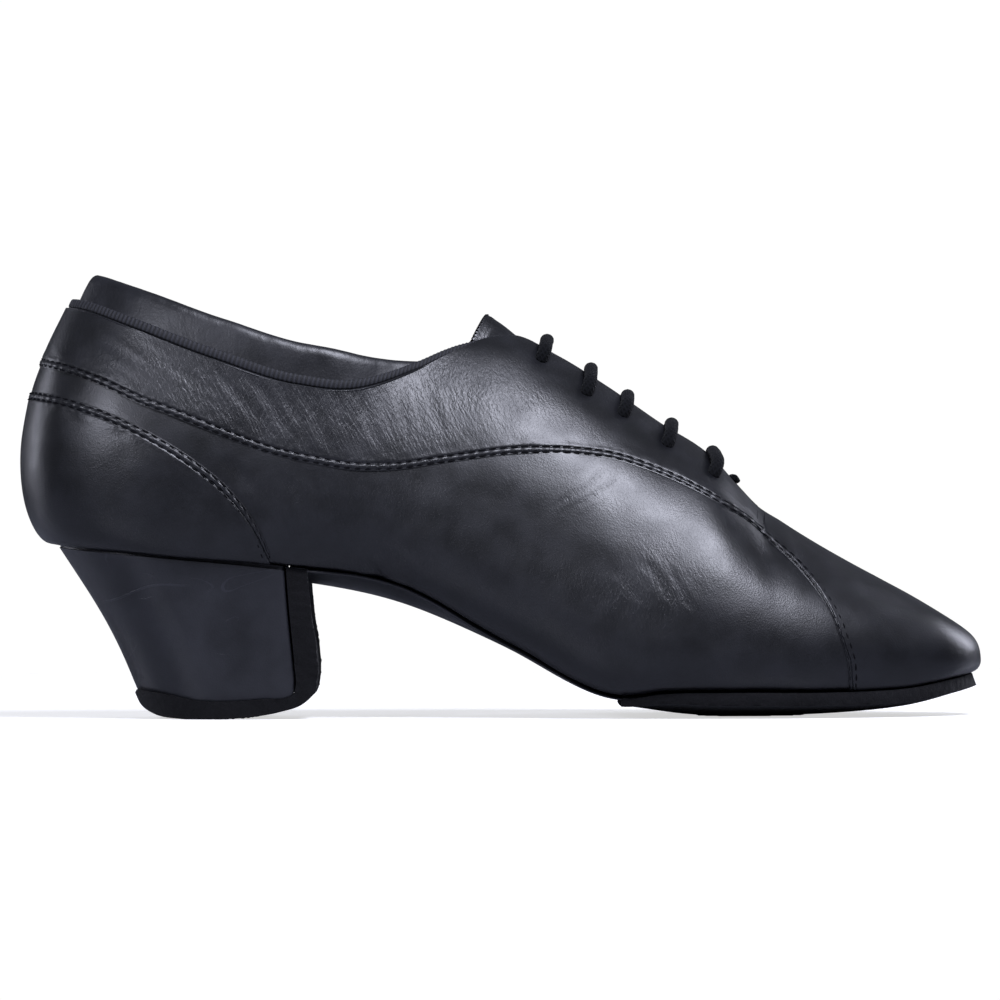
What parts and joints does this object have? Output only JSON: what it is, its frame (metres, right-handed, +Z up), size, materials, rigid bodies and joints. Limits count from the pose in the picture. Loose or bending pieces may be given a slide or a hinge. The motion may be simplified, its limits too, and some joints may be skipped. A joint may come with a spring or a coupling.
{
  "type": "latin dance shoe",
  "caption": "Left low-cut lace-up dance shoe with a soft creased upper, padded collar, ribbed binding, lace bars over a narrow throat, split suede sole and suede-faced cuban heel",
  "frame": {"origin": "middle of the shoe's bounding box, on the floor under its soles", "axes": "+X towards the toe, +Y towards the outer side of the left foot, +Z up"},
  "size_m": [0.285, 0.0974, 0.1294],
  "materials": {
    "upper_leather": "soft black leather, satin, creased at the quarter",
    "lining_leather": "smooth dark lining leather",
    "cover_leather": "smooth black cover leather, satin",
    "ribbed_elastic": "ribbed matte binding",
    "sole_suede": "black napped suede, matte",
    "lace_cord": "round woven cord, matte"
  },
  "bodies": {
    "root": {"upper": "upper_leather", "collar_padding": "lining_leather", "collar_binding": "ribbed_elastic", "tongue": "upper_leather", "insole": "lining_leather", "tread_sole": "sole_suede", "waist_cover": "cover_leather", "heel_block": "cover_leather", "heel_suede": "sole_suede", "lace_bar_1": "lace_cord", "lace_bar_2": "lace_cord", "lace_bar_3": "lace_cord", "lace_bar_4": "lace_cord", "lace_bar_5": "lace_cord"}
  },
  "joints": []
}
